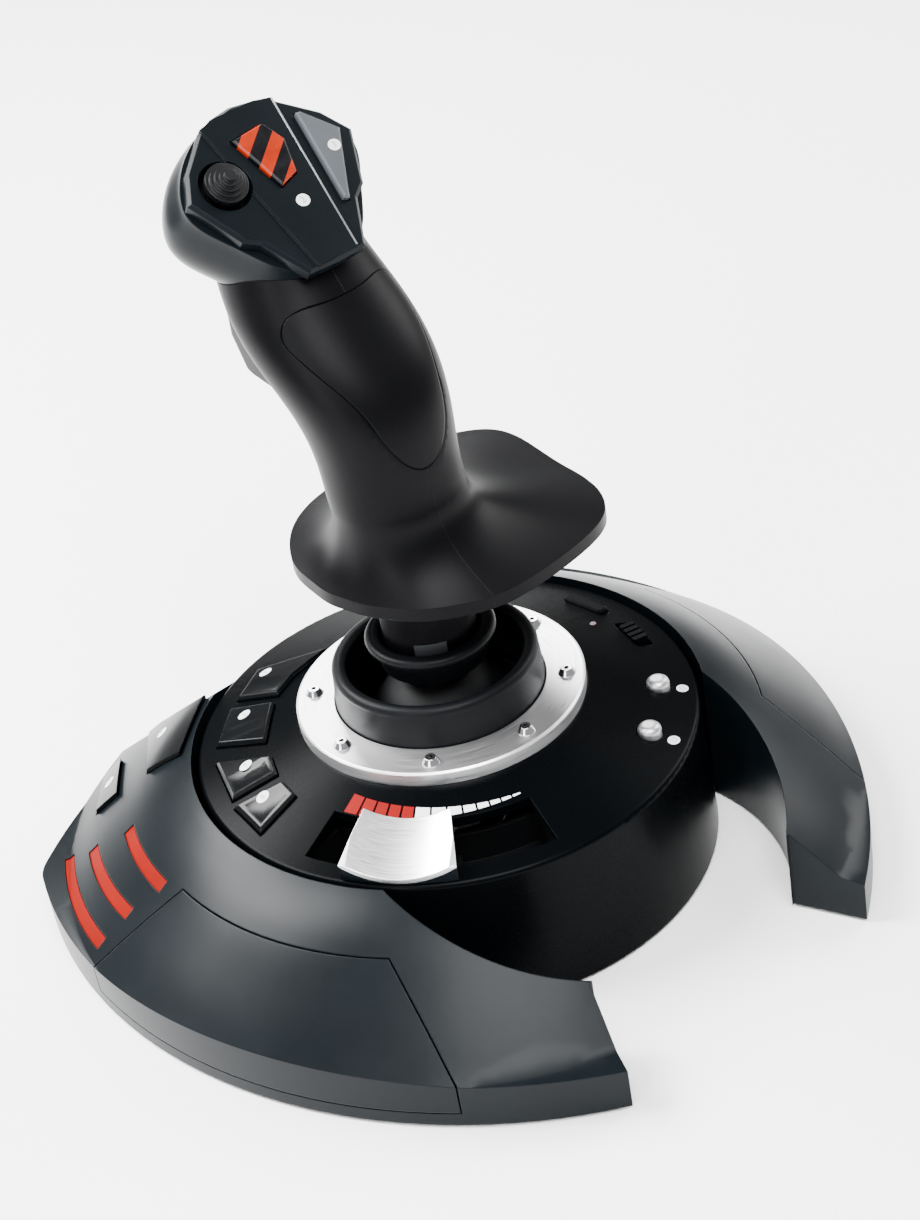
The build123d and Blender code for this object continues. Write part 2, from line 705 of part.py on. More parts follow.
with BuildPart() as twist_cup:
    with BuildSketch(Plane.XZ):
        with BuildLine():
            Line((shaft_r, pivot_z + 22.2), (10.5, pivot_z + 22.2))
            Line((10.5, pivot_z + 22.2), (14.6, 65.6))
            Line((14.6, 65.6), (15.8, 70.0))
            Line((15.8, 70.0), (cup_r, 73.0))
            ThreePointArc((cup_r, 73.0), (cup_r - 0.4, 74.6), (cup_r - 1.9, cup_top))
            ThreePointArc((cup_r - 1.9, cup_top), (cup_in + 0.7, 74.6), (cup_in, 73.0))
            Line((cup_in, 73.0), (cup_in, neck_foot_z - 0.5))
            Line((cup_in, neck_foot_z - 0.5), (shaft_r, neck_foot_z - 0.5))
            Line((shaft_r, neck_foot_z - 0.5), (shaft_r, pivot_z + 22.2))
        make_face()
    revolve(axis=Axis.Z)
save(twist_cup, "twist_cup")

spring_low, spring_high = floor_z, pivot_z - 8
spring_turns = 5
with BuildPart() as centering_spring:
    wire_r, coil_r = 0.9, 12.2
    lift = spring_high - spring_low - 2 * wire_r
    with BuildLine() as coil:
        Helix(pitch=lift / spring_turns, height=lift, radius=coil_r, center=(0, 0, spring_low + wire_r))
    with BuildSketch(Plane(origin=coil.line @ 0, z_dir=coil.line % 0)):
        Circle(wire_r)
    sweep(path=coil.line)
save(centering_spring, "centering_spring")

with BuildPart() as pitch_sensor:
    with Locations((36.8, 0, pivot_z)):
        Box(4.6, 12, 12, align=(Align.CENTER, Align.CENTER, Align.CENTER))
    with Locations((36.8, 0, floor_z)):
        Box(4.6, 8, pivot_z - 6 - floor_z, align=from_base)
save(pitch_sensor, "pitch_sensor")

with BuildPart() as roll_sensor:
    with Locations(Location((0, ring_out, pivot_z), (-90, 0, 0))):
        Cylinder(3.0, 2.4, align=from_base)
save(roll_sensor, "roll_sensor")


# ---------------------------------------------------------------- grip volumes
def oval_reach(angle, half_x, half_y):
    """Reach of a squared oval from its centre."""
    c, s = cos(radians(angle)), sin(radians(angle))
    power = 2 / grip_squareness
    return (abs(c / half_x) ** power + abs(s / half_y) ** power) ** (-1 / power)


def rest_reach(angle):
    """Reach of the hand rest's rim from the stick's axis."""
    angle = angle % 360
    points = rest_outline + [(rest_outline[0][0] + 360, rest_outline[0][1])]
    for (a0, r0), (a1, r1) in zip(points, points[1:]):
        if a0 <= angle <= a1:
            t = (angle - a0) / (a1 - a0)
            t = t * t * (3 - 2 * t) * 0.35 + t * 0.65
            return r0 + (r1 - r0) * t
    return points[0][1]


section_angles = [360 * k / section_points for k in range(section_points)]


def rest_points(weight, grow):
    """Outline part way between the grip's foot and the hand rest's rim."""
    _, foot_y, half_x, half_y = grip_sections[0]
    points = []
    for angle in section_angles:
        grip = oval_reach(angle, half_x, half_y)
        reach = grip * (1 - weight) + rest_reach(angle) * weight + grow
        points.append((reach * cos(radians(angle)), foot_y * (1 - weight) + reach * sin(radians(angle))))
    return points


def grip_volume(inset):
    """Lofted grip, inset by a wall thickness."""
    with BuildPart() as body:
        for height, centre, half_x, half_y in grip_sections:
            with BuildSketch(Plane.XY.offset(height)):
                with BuildLine():
                    points = []
                    for angle in section_angles:
                        reach = oval_reach(angle, half_x - inset, half_y - inset)
                        points.append((reach * cos(radians(angle)), centre + reach * sin(radians(angle))))
                    Spline(*points, periodic=True)
                make_face()
        loft()
    return body.part


def flare_volume():
    """Hand rest spreading from the grip's foot to the rim, in short cones."""
    grip_foot = grip_sections[0][0]
    with BuildPart() as body:
        for step in range(flare_steps + 1):
            rise = (step / flare_steps) ** 1.6
            with BuildSketch(Plane.XY.offset(rest_top + rise * (grip_foot - rest_top))):
                with BuildLine():
                    Spline(*rest_points((1 - rise) ** flare_power, 0), periodic=True)
                make_face()
        loft(ruled=True)
        with BuildSketch(Plane.XY.offset(rest_bottom)):
            with BuildLine():
                Spline(*rest_points(1.0, 0), periodic=True)
            make_face()
        extrude(amount=rest_top - rest_bottom)
    return body.part


head_plane = Plane(origin=head_origin, x_dir=(1, 0, 0), z_dir=head_normal)


def mirrored(outline):
    """Close a right-hand half outline (x, distance down the plate) across the middle."""
    right = [(x, -s) for x, s in outline]
    left = [(-x, y) for x, y in reversed(right[1:-1])]
    return right + left


def housing_volume(inset, far):
    """Bulging head housing behind the plate."""
    with BuildPart() as body:
        for depth, scale in housing_sections:
            depth = depth * far
            points = []
            for x, y in mirrored(housing_outline):
                reach = hypot(x, y + housing_mid)
                shrink = scale * (reach - inset) / reach
                points.append((x * shrink, -housing_mid + (y + housing_mid) * shrink))
            with BuildSketch(head_plane.offset(depth - plate_depth)):
                with BuildLine():
                    Spline(*points, periodic=True)
                make_face()
        loft()
    return body.part


def plate_prism(points, low, high, grow=0.0):
    """Block square to the head plate over (x, distance down) corners."""
    with BuildPart() as body:
        with BuildSketch(head_plane.offset(low)):
            with BuildLine():
                Polyline(*[(x, -s) for x, s in points], close=True)
            make_face()
            if grow:
                offset(amount=grow, kind=Kind.INTERSECTION)
        extrude(amount=high - low)
    return body.part


def side_prism(points, half, grow=0.0):
    """Block across the grip over (y, z) corners."""
    with BuildPart() as body:
        with BuildSketch(Plane.YZ):
            with BuildLine():
                Polyline(*points, close=True)
            make_face()
            if grow:
                offset(amount=grow, kind=Kind.INTERSECTION)
        extrude(amount=half, both=True)
    return body.part


housing_outer = housing_volume(0, 1.0)
head_block = plate_prism([(-40, -30), (40, -30), (40, 70), (-40, 70)], -plate_depth, 40)
grip_outer = grip_volume(0)
grip_under_panel = grip_volume(panel_depth)
grip_cavity = grip_volume(grip_wall)

trigger_outline = [(48.5, 173.5), (52.5, 171.5), (51.4, 163.5), (51.6, 153.0), (48.2, 145.5), (43.4, 143.5),
                   (33.0, 141.5), (28.0, 144.5), (33.0, 152.0), (37.5, 161.0), (41.0, 170.5)]
trigger_half = 10.5
trigger_round = 2.4
trigger_side_gap = 0.35
trigger_pin_at = (44.0, 168.0)
palm_seam = [(-13.2, 118.0), (-12.4, 125.0), (-10.2, 137.0), (-5.5, 148.7), (1.8, 156.6), (10.1, 163.2),
             (14.0, 167.5), (14.2, 170.6), (11.5, 172.7)]
trigger_pin_r = 1.5
trigger_swing = 8.0


def palm_block(gap):
    """Block across the grip behind the palm panel's seam, drawn in by a gap."""
    seam_line = [(y - gap, z + gap * 0.5) for y, z in palm_seam[:-1]]
    seam_line.append((palm_seam[-1][0] - gap, palm_seam[-1][1] - gap))
    with BuildPart() as body:
        with BuildSketch(Plane.YZ):
            with BuildLine():
                Spline(*seam_line)
                Polyline(seam_line[-1], (-40, seam_line[-1][1]), (-40, seam_line[0][1]), seam_line[0])
            make_face()
        extrude(amount=40, both=True)
    return body.part


def swung(points, angle):
    """Trigger corners turned inwards about its pin."""
    y0, z0 = trigger_pin_at
    c, sn = cos(radians(angle)), sin(radians(angle))
    return [(y0 + (y - y0) * c + (z - z0) * sn, z0 - (y - y0) * sn + (z - z0) * c) for y, z in points]


# ---------------------------------------------------------------- grip shells
neck = turned([(0, neck_foot_z), (neck_r, neck_foot_z), (neck_r, 84), (14.5, 89.5),
               (19, rest_bottom), (0, rest_bottom)])

with BuildPart() as panel_recess:
    add(palm_block(0))
    add(grip_under_panel, mode=Mode.SUBTRACT)

with BuildPart() as grip_body:
    add(grip_outer)
    add(flare_volume())
    add(neck)
    add(housing_outer, mode=Mode.SUBTRACT)
    add(head_block, mode=Mode.SUBTRACT)
    add(panel_recess.part, mode=Mode.SUBTRACT)
    add(grip_cavity, mode=Mode.SUBTRACT)
    add(tube(shaft_r + 0.3, 0, 60, 108).fuse(tube(11, 0, shaft_top, 118)), mode=Mode.SUBTRACT)
    for swing in (0, trigger_swing / 2, trigger_swing):
        add(side_prism(swung(trigger_outline, swing), trigger_half + trigger_side_gap, 0.7), mode=Mode.SUBTRACT)
    with Locations(Location((-12, trigger_pin_at[0], trigger_pin_at[1]), (0, 90, 0))):
        Cylinder(trigger_pin_r, 24, align=from_base, mode=Mode.SUBTRACT)

for side, name in ((-1, "grip_left_shell"), (1, "grip_right_shell")):
    with BuildPart() as shell:
        add(grip_body.part)
        keep = Keep.TOP if side > 0 else Keep.BOTTOM
        split(bisect_by=Plane.YZ, keep=keep)
    save(shell, name)

with BuildPart() as palm_panel:
    add(grip_outer)
    add(palm_block(0.3), mode=Mode.INTERSECT)
    add(grip_under_panel, mode=Mode.SUBTRACT)
    add(housing_outer, mode=Mode.SUBTRACT)
save(palm_panel, "palm_panel")

# ---------------------------------------------------------------- trigger
pin_y, pin_z = trigger_pin_at
with BuildPart() as trigger:
    add(side_prism(trigger_outline, trigger_half))
    finger_corners = [e for e in trigger.edges() if e.center().Y > 46]
    fillet(finger_corners, trigger_round)
    with Locations(Location((-20, pin_y, pin_z), (0, 90, 0))):
        Cylinder(trigger_pin_r + bearing_gap, 40, align=from_base, mode=Mode.SUBTRACT)
save(trigger, "trigger")

with BuildPart() as trigger_pin:
    with Locations(Location((-12, pin_y, pin_z), (0, 90, 0))):
        Cylinder(trigger_pin_r, 24, align=from_base)
save(trigger_pin, "trigger_pin")

# ---------------------------------------------------------------- head
hat_x, hat_s = hat_centre
with BuildPart() as head_housing:
    add(housing_outer)
    add(housing_volume(2.4, 0.88), mode=Mode.SUBTRACT)
    with BuildSketch(Plane.XY.offset(160)):
        with Locations((0, 33)):
            Circle(9)
    extrude(amount=30, mode=Mode.SUBTRACT)
save(head_housing, "head_housing")

ridge_outline = [(-ridge_top + 0.6, -0.8), (-6, -2.0), (6, -2.0), (ridge_top - 0.6, -0.8),
                 (ridge_bottom, 44.2), (-ridge_bottom, 44.2)]
with BuildPart() as head_plate:
    with BuildSketch(head_plane.offset(-plate_depth)):
        with BuildLine():
            Polyline(*mirrored(plate_outline), close=True)
        make_face()
    extrude(amount=plate_depth - ridge_h)
    chamfer(head_plate.faces().sort_by(Axis(head_origin, head_normal))[-1].edges(), 0.9)
    add(plate_prism(ridge_outline, -1.5, 0))
    add(plate_prism(striped_outline, -10, 5), mode=Mode.SUBTRACT)
    add(plate_prism(grey_outline, -10, 5), mode=Mode.SUBTRACT)
    with BuildSketch(head_plane.offset(-10)):
        with Locations((hat_x, -hat_s)):
            Circle(hat_r + 1.3)
    extrude(amount=15, mode=Mode.SUBTRACT)
save(head_plate, "head_plate")

thumb_buttons = {
    "thumb_button_striped": (striped_outline, 1.2),
    "thumb_button_grey": (grey_outline, 0.9),
}
for name, (outline, proud) in thumb_buttons.items():
    with BuildPart() as key:
        add(plate_prism(outline, -7, proud, -button_gap))
        chamfer(key.faces().sort_by(Axis(head_origin, head_normal))[-1].edges(), 0.45)
    save(key, name)

hat_low = -7.5
hat_ring_out, hat_ring_in = 3.6, 2.6
hat_pin_r = 0.7
with BuildPart() as hat_cap:
    steps = 5
    with BuildSketch(head_plane.offset(-0.6)):
        with Locations((hat_x, -hat_s)):
            Circle(hat_r)
    extrude(amount=1.8)
    for k in range(1, steps):
        with BuildSketch(head_plane.offset(1.2 + 0.95 * (k - 1))):
            with Locations((hat_x, -hat_s)):
                Circle(hat_r * (1 - k / (steps + 0.6)))
        extrude(amount=0.95)
    with BuildSketch(head_plane.offset(hat_low)):
        with Locations((hat_x, -hat_s)):
            Circle(1.7)
    extrude(amount=-0.6 - hat_low)
    with Locations(head_plane.offset(hat_low + 1).location * Location((hat_x, -hat_s, 0), (-90, 0, 0))):
        Cylinder(hat_pin_r, 2 * hat_ring_out - 0.4)
save(hat_cap, "hat_cap")

hat_pivot = head_plane.offset(hat_low + 1).location * Location((hat_x, -hat_s, 0))
across = Location((0, 0, 0), (0, 90, 0))
up_slope = Location((0, 0, 0), (-90, 0, 0))
with BuildPart() as hat_gimbal:
    with BuildSketch(head_plane.offset(hat_low)):
        with Locations((hat_x, -hat_s)):
            Circle(hat_ring_out)
            Circle(hat_ring_in, mode=Mode.SUBTRACT)
    extrude(amount=2)
    with Locations(hat_pivot * up_slope):
        Cylinder(hat_pin_r + bearing_gap, 2 * hat_ring_out + 1, mode=Mode.SUBTRACT)
    for side in (-1, 1):
        with Locations(hat_pivot * Location((side * (hat_ring_out + 0.7), 0, 0)) * across):
            Cylinder(hat_pin_r, 2.0)
save(hat_gimbal, "hat_gimbal")

with BuildPart() as hat_base:
    with BuildSketch(head_plane.offset(hat_low - 3)):
        with Locations((hat_x, -hat_s)):
            Circle(6.0)
    extrude(amount=2.2)
    for side in (-1, 1):
        with Locations(hat_pivot * Location((side * 4.9, 0, -0.6))):
            Box(1.2, 3.0, 3.4)
    with Locations(hat_pivot * across):
        Cylinder(hat_pin_r + bearing_gap, 14, mode=Mode.SUBTRACT)
save(hat_base, "hat_base")

with BuildPart() as head_board:
    with BuildSketch(head_plane.offset(hat_low - 4.4)):
        with Locations((0, -18)):
            Rectangle(34, 24)
    extrude(amount=1.4)
save(head_board, "head_board")
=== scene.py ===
import json
import math

import bmesh
import bpy
from mathutils import Matrix, Vector

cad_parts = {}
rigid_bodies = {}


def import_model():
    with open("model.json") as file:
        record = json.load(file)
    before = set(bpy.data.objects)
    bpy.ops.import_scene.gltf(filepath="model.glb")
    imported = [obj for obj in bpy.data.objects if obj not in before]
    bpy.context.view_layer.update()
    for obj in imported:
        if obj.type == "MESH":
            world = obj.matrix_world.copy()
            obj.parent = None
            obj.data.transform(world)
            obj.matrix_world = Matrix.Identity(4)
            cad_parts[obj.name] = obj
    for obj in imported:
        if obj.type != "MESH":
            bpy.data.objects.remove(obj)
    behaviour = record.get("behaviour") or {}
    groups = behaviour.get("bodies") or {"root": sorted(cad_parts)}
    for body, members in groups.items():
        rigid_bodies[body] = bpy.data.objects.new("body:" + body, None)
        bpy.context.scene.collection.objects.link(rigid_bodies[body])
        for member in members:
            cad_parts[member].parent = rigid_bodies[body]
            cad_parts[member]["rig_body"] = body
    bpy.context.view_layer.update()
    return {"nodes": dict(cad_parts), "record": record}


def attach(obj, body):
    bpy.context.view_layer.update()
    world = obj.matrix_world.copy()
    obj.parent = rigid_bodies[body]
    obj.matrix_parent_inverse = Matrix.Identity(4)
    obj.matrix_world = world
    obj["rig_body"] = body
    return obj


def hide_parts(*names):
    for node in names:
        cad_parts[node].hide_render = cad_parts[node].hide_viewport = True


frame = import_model()
nodes = frame["nodes"]

MM = 0.001

# ------------------------------------------------------------------ shape of the part, in mm
LAND_R, LAND_Z, RIM_R, RIM_Z = 40.4, 51.4, 70.0, 42.4
CONE_SLOPE = (LAND_Z - RIM_Z) / (RIM_R - LAND_R)
HEAD_ORIGIN = Vector((0.0, 41.6, 213.0))
HEAD_NORMAL = Vector((0.0, -0.680, 0.733)).normalized()
HEAD_UP = Vector((0.0, HEAD_NORMAL.z, -HEAD_NORMAL.y))


def polar(radius, angle, height=0.0):
    a = math.radians(angle)
    return Vector((radius * math.cos(a), radius * math.sin(a), height))


def cone_height(radius):
    return LAND_Z - CONE_SLOPE * (radius - LAND_R)


def cone_normal(angle):
    a = math.radians(angle)
    return Vector((CONE_SLOPE * math.cos(a), CONE_SLOPE * math.sin(a), 1.0)).normalized()


def on_head(x, down, lift=0.0):
    return HEAD_ORIGIN + Vector((x, 0, 0)) - HEAD_UP * down + HEAD_NORMAL * lift


# ------------------------------------------------------------------ node helpers
class Nodes:
    """One material's node tree, with short ways to add and join nodes."""

    def __init__(self, name):
        self.material = bpy.data.materials.new(name)
        self.material.use_nodes = True
        self.tree = self.material.node_tree
        self.shader = self.tree.nodes["Principled BSDF"]

    def add(self, kind, **sockets):
        node = self.tree.nodes.new(kind)
        for key, value in sockets.items():
            node.inputs[key.replace("_", " ")].default_value = value
        return node

    def join(self, a, b):
        self.tree.links.new(a, b)

    def place(self):
        return self.tree.nodes.new("ShaderNodeTexCoord").outputs["Object"]

    def split(self, vector):
        node = self.tree.nodes.new("ShaderNodeSeparateXYZ")
        self.join(vector, node.inputs[0])
        return node.outputs

    def math(self, operation, a, b=None):
        node = self.tree.nodes.new("ShaderNodeMath")
        node.operation = operation
        for i, value in enumerate((a, b)):
            if value is None:
                continue
            if isinstance(value, (int, float)):
                node.inputs[i].default_value = value
            else:
                self.join(value, node.inputs[i])
        return node.outputs[0]

    def spread(self, value, low, high):
        node = self.tree.nodes.new("ShaderNodeMapRange")
        node.inputs["From Min"].default_value = 0.3
        node.inputs["From Max"].default_value = 0.7
        node.inputs["To Min"].default_value = low
        node.inputs["To Max"].default_value = high
        self.join(value, node.inputs["Value"])
        return node.outputs["Result"]

    def noise(self, vector, scale, detail=3.0, roughness=0.55):
        node = self.add("ShaderNodeTexNoise", Scale=scale, Detail=detail, Roughness=roughness)
        self.join(vector, node.inputs["Vector"])
        return node.outputs["Fac"]

    def tint(self, value, dark, light):
        node = self.tree.nodes.new("ShaderNodeValToRGB")
        node.color_ramp.elements[0].position = 0.3
        node.color_ramp.elements[1].position = 0.7
        node.color_ramp.elements[0].color = (*dark, 1)
        node.color_ramp.elements[1].color = (*light, 1)
        self.join(value, node.inputs["Fac"])
        return node.outputs["Color"]

    def relief(self, height, depth_mm, rounding_mm):
        bump = self.add("ShaderNodeBump", Strength=1.0, Distance=depth_mm * MM)
        self.join(height, bump.inputs["Height"])
        if rounding_mm:
            edge = self.tree.nodes.new("ShaderNodeBevel")
            edge.samples = 6
            edge.inputs["Radius"].default_value = rounding_mm * MM
            self.join(edge.outputs["Normal"], bump.inputs["Normal"])
        self.join(bump.outputs["Normal"], self.shader.inputs["Normal"])


def moulded(name, color, rough, grain=2600, depth=0.012, rounding=0.35, coat=0.0, specular=0.5):
    """Moulded plastic or rubber: fine grain, uneven sheen, slight mottling."""
    n = Nodes(name)
    place = n.place()
    fine = n.noise(place, grain, 2.0)
    wide = n.noise(place, 38.0, 4.0)
    dark = tuple(c * 0.86 for c in color)
    light = tuple(min(1.0, c * 1.14) for c in color)
    n.join(n.tint(wide, dark, light), n.shader.inputs["Base Color"])
    sheen = n.math("ADD", n.math("MULTIPLY", wide, 0.6), n.math("MULTIPLY", fine, 0.4))
    n.join(n.spread(sheen, rough * 0.88, min(1.0, rough * 1.12)), n.shader.inputs["Roughness"])
    n.relief(fine, depth, rounding)
    n.shader.inputs["Specular IOR Level"].default_value = specular
    n.shader.inputs["Coat Weight"].default_value = coat
    n.shader.inputs["Coat Roughness"].default_value = 0.12
    return n.material


def turned_metal(name, color, rough, rounding=0.3):
    """Metal brushed round the stick's axis."""
    n = Nodes(name)
    place = n.place()
    x, y, z = n.split(place)
    radius = n.math("SQRT", n.math("ADD", n.math("MULTIPLY", x, x), n.math("MULTIPLY", y, y)))
    turn = n.math("ARCTAN2", y, x)
    join = n.tree.nodes.new("ShaderNodeCombineXYZ")
    n.join(n.math("MULTIPLY", radius, 5200.0), join.inputs[0])
    n.join(n.math("MULTIPLY", turn, 2.2), join.inputs[1])
    n.join(n.math("MULTIPLY", z, 900.0), join.inputs[2])
    lines = n.noise(join.outputs[0], 1.0, 3.0)
    wide = n.noise(place, 60.0, 3.0)
    n.join(n.tint(wide, tuple(c * 0.93 for c in color), color), n.shader.inputs["Base Color"])
    n.join(n.spread(lines, rough * 0.8, rough * 1.2), n.shader.inputs["Roughness"])
    n.relief(lines, 0.008, rounding)
    n.shader.inputs["Metallic"].default_value = 1.0
    return n.material


def metal(name, color, rough, grain=1400, depth=0.006, rounding=0.25):
    """Plain metal, or plastic coated to look like it."""
    n = Nodes(name)
    place = n.place()
    fine = n.noise(place, grain, 3.0)
    wide = n.noise(place, 90.0, 3.0)
    n.join(n.tint(wide, tuple(c * 0.9 for c in color), color), n.shader.inputs["Base Color"])
    n.join(n.spread(fine, rough * 0.8, rough * 1.25), n.shader.inputs["Roughness"])
    n.relief(fine, depth, rounding)
    n.shader.inputs["Metallic"].default_value = 1.0
    return n.material


def ink(name, color):
    """Printed ink with a slightly worn, uneven film."""
    n = Nodes(name)
    place = n.place()
    film = n.noise(place, 900.0, 4.0)
    n.join(n.tint(film, tuple(c * 0.9 for c in color), color), n.shader.inputs["Base Color"])
    n.join(n.spread(film, 0.45, 0.6), n.shader.inputs["Roughness"])
    n.relief(film, 0.004, 0)
    n.shader.inputs["Specular IOR Level"].default_value = 0.06
    return n.material


BAR_PITCH = 6.8
# Share of the bars' run that goes up the head and across it.
BAR_UP, BAR_ACROSS = 0.79, 0.61


def striped_window():
    """Orange and black diagonal bars under a glossy skin."""
    n = Nodes("look_striped_window")
    place = n.place()
    x, y, z = n.split(place)
    slope = n.math("ADD", n.math("MULTIPLY", y, HEAD_UP.y), n.math("MULTIPLY", z, HEAD_UP.z))
    ramp = n.math("SUBTRACT", n.math("MULTIPLY", slope, BAR_UP), n.math("MULTIPLY", x, BAR_ACROSS))
    count = n.math("MULTIPLY", ramp, 1.0 / (BAR_PITCH * MM))
    bars = n.math("GREATER_THAN", n.math("FRACT", count), 0.5)
    mix = n.tree.nodes.new("ShaderNodeMix")
    mix.data_type = "RGBA"
    wide = n.noise(place, 300.0)
    n.join(bars, mix.inputs["Factor"])
    n.join(n.tint(wide, (0.002, 0.002, 0.0025), (0.004, 0.004, 0.005)), mix.inputs["A"])
    n.join(n.tint(wide, (0.20, 0.011, 0.0015), (0.25, 0.015, 0.002)), mix.inputs["B"])
    n.join(mix.outputs["Result"], n.shader.inputs["Base Color"])
    n.join(n.spread(wide, 0.18, 0.26), n.shader.inputs["Roughness"])
    n.relief(wide, 0.004, 0.3)
    n.shader.inputs["Specular IOR Level"].default_value = 0.15
    return n.material


LOOKS = {
    "charcoal": moulded("look_charcoal", (0.0018, 0.0032, 0.0043), 0.31, specular=0.085),
    "drum_black": moulded("look_drum_black", (0.0006, 0.0009, 0.0012), 0.28, grain=3200, depth=0.006,
                          specular=0.025),
    "grip_rubber": moulded("look_grip_rubber", (0.0012, 0.0012, 0.0017), 0.40, grain=3600, depth=0.006,
                           specular=0.055),
    "boot_rubber": moulded("look_boot_rubber", (0.0018, 0.0022, 0.0028), 0.45, depth=0.010, specular=0.07),
    "key_black": moulded("look_key_black", (0.0010, 0.0014, 0.0018), 0.18, depth=0.003, coat=0.03,
                         specular=0.10),
    "silver_metal": turned_metal("look_silver_metal", (0.90, 0.90, 0.91), 0.34),
    "silver_plastic": metal("look_silver_plastic", (0.36, 0.36, 0.375), 0.24),
    "chrome_screw": metal("look_chrome_screw", (0.62, 0.62, 0.64), 0.16),
    "stripe_orange": moulded("look_stripe_orange", (0.125, 0.0024, 0.0006), 0.42, depth=0.004,
                             specular=0.03),
    "grey_plastic": moulded("look_grey_plastic", (0.050, 0.055, 0.062), 0.24, depth=0.003, coat=0.1,
                            specular=0.3),
    "inner_plastic": moulded("look_inner_plastic", (0.002, 0.0022, 0.0026), 0.55, specular=0.08),
    "steel": metal("look_steel", (0.50, 0.50, 0.52), 0.32),
    # The board's green is darkened almost to black: partly its own colour, partly painted shade for where it
    # shows in the hat's well.
    "board_green": moulded("look_board_green_darkened_to_shade", (0.002, 0.009, 0.004), 0.4, depth=0.004, specular=0.1),
    "component_black": moulded("look_component_black", (0.002, 0.002, 0.0022), 0.5, specular=0.1),
    "led_red": moulded("look_led_red", (0.03, 0.002, 0.002), 0.25, depth=0.002, specular=0.2),
    "foot_rubber": moulded("look_foot_rubber", (0.010, 0.010, 0.010), 0.7, depth=0.02),
}
slot_of = {row["node"]: row["material_slot"] for row in frame["record"]["subparts"]}
for name, node in nodes.items():
    node.data.materials.clear()
    node.data.materials.append(LOOKS[slot_of[name]])

# A few nodes look unlike the rest of their slot.
STRIPED_WINDOW = striped_window()
SATIN_BUTTON = metal("look_satin_button", (0.50, 0.50, 0.52), 0.40, grain=2400, depth=0.003)
MATT_KEY = moulded("look_matt_key", (0.0008, 0.0010, 0.0013), 0.5, depth=0.004, specular=0.03)
RINGED_HAT = moulded("look_hat", (0.0016, 0.0019, 0.0024), 0.30, depth=0.003, rounding=0.25, specular=0.30)
OWN_LOOKS = {
    "thumb_button_striped": STRIPED_WINDOW,
    "side_button_11": SATIN_BUTTON,
    "side_button_12": SATIN_BUTTON,
    "mapping_button": MATT_KEY,
    "mode_switch": MATT_KEY,
    "hat_cap": RINGED_HAT,
}
for name, look in OWN_LOOKS.items():
    nodes[name].data.materials[0] = look

WHITE_INK = ink("look_white_ink", (0.74, 0.75, 0.77))
RED_INK = ink("look_red_ink", (0.16, 0.002, 0.0015))
GREY_INK = ink("look_grey_ink", (0.30, 0.31, 0.33))


# ------------------------------------------------------------------ mesh helpers
def piece(name, verts, faces, look, body, smooth=False):
    """A mesh piece from points in mm, riding on a body."""
    mesh = bpy.data.meshes.new(name)
    mesh.from_pydata([tuple(Vector(v) * MM) for v in verts], [], faces)
    mesh.validate()
    mesh.update()
    for polygon in mesh.polygons:
        polygon.use_smooth = smooth
    mesh.materials.append(look)
    obj = bpy.data.objects.new(name, mesh)
    bpy.context.scene.collection.objects.link(obj)
    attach(obj, body)
    return obj


def basis(normal, along):
    """Two directions in the plane square to normal, the first as near to along as can be."""
    n = Vector(normal).normalized()
    u = (Vector(along) - n * n.dot(Vector(along))).normalized()
    return n, u, n.cross(u)


# ------------------------------------------------------------------ pieces that stand for CAD nodes
WELD, SLIVER = 0.004, 0.002
SKIN_CREASE, KEY_CREASE = 32.0, 18.0


def welded(node):
    """A CAD node's mesh with the doubled points along its seams joined."""
    work = bmesh.new()
    work.from_mesh(nodes[node].data)
    bmesh.ops.remove_doubles(work, verts=work.verts, dist=WELD * MM)
    return work


def stand_in(work, node, name, crease):
    """Ends a bmesh as a smoothly shaded piece that replaces a CAD node."""
    source = nodes[node]
    mesh = bpy.data.meshes.new(name)
    work.to_mesh(mesh)
    work.free()
    if mesh.attributes.get("custom_normal"):
        mesh.attributes.remove(mesh.attributes["custom_normal"])
    mesh.materials.append(source.data.materials[0])
    for polygon in mesh.polygons:
        polygon.use_smooth = True
        polygon.material_index = 0
    mesh.set_sharp_from_angle(angle=math.radians(crease))
    obj = bpy.data.objects.new(name, mesh)
    bpy.context.scene.collection.objects.link(obj)
    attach(obj, source["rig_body"])
    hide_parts(node)
    return obj


def skin(node):
    """The same shape as a lofted CAD node, smoothly shaded."""
    work = welded(node)
    bmesh.ops.dissolve_degenerate(work, edges=work.edges, dist=SLIVER * MM)
    return stand_in(work, node, node + "_skin", SKIN_CREASE)


for node in ("grip_left_shell", "grip_right_shell", "palm_panel", "head_housing", "trigger", "crescent_cover",
             "left_wing_panel", "right_wing_panel"):
    skin(node)

# ------------------------------------------------------------------ key tops
# Each ring inwards from the key's edge, as its width and how far it drops.
DISH_RINGS = ((0.5, 0.0), (0.8, 0.17), (0.8, 0.13), (0.8, 0.09), (0.8, 0.05))
FLAT_ANGLE = 1.5
UPWARD = 0.75


def dished(node):
    """A key with a shallow dish in its top, for a CAD key with a flat one."""
    work = welded(node)
    flat = math.radians(FLAT_ANGLE)
    bmesh.ops.dissolve_limit(work, angle_limit=flat, verts=work.verts, edges=work.edges)
    upper = [face for face in work.faces if face.normal.z > UPWARD]
    top = max(upper, key=lambda face: face.calc_area())
    for width, drop in DISH_RINGS:
        bmesh.ops.inset_region(work, faces=[top], thickness=width * MM, depth=-drop * MM,
                               use_even_offset=True)
    bmesh.ops.triangulate(work, faces=[face for face in work.faces if len(face.verts) > 4])
    return stand_in(work, node, node + "_dished", KEY_CREASE)


# Keys 9 and 10, on the crescent, keep the tops of their CAD nodes.
key_tops = {}
for number in (5, 6, 7, 8):
    key_tops["base_button_%d" % number] = dished("base_button_%d" % number)
for number in (9, 10):
    key_tops["base_button_%d" % number] = skin("base_button_%d" % number)
bpy.context.view_layer.update()

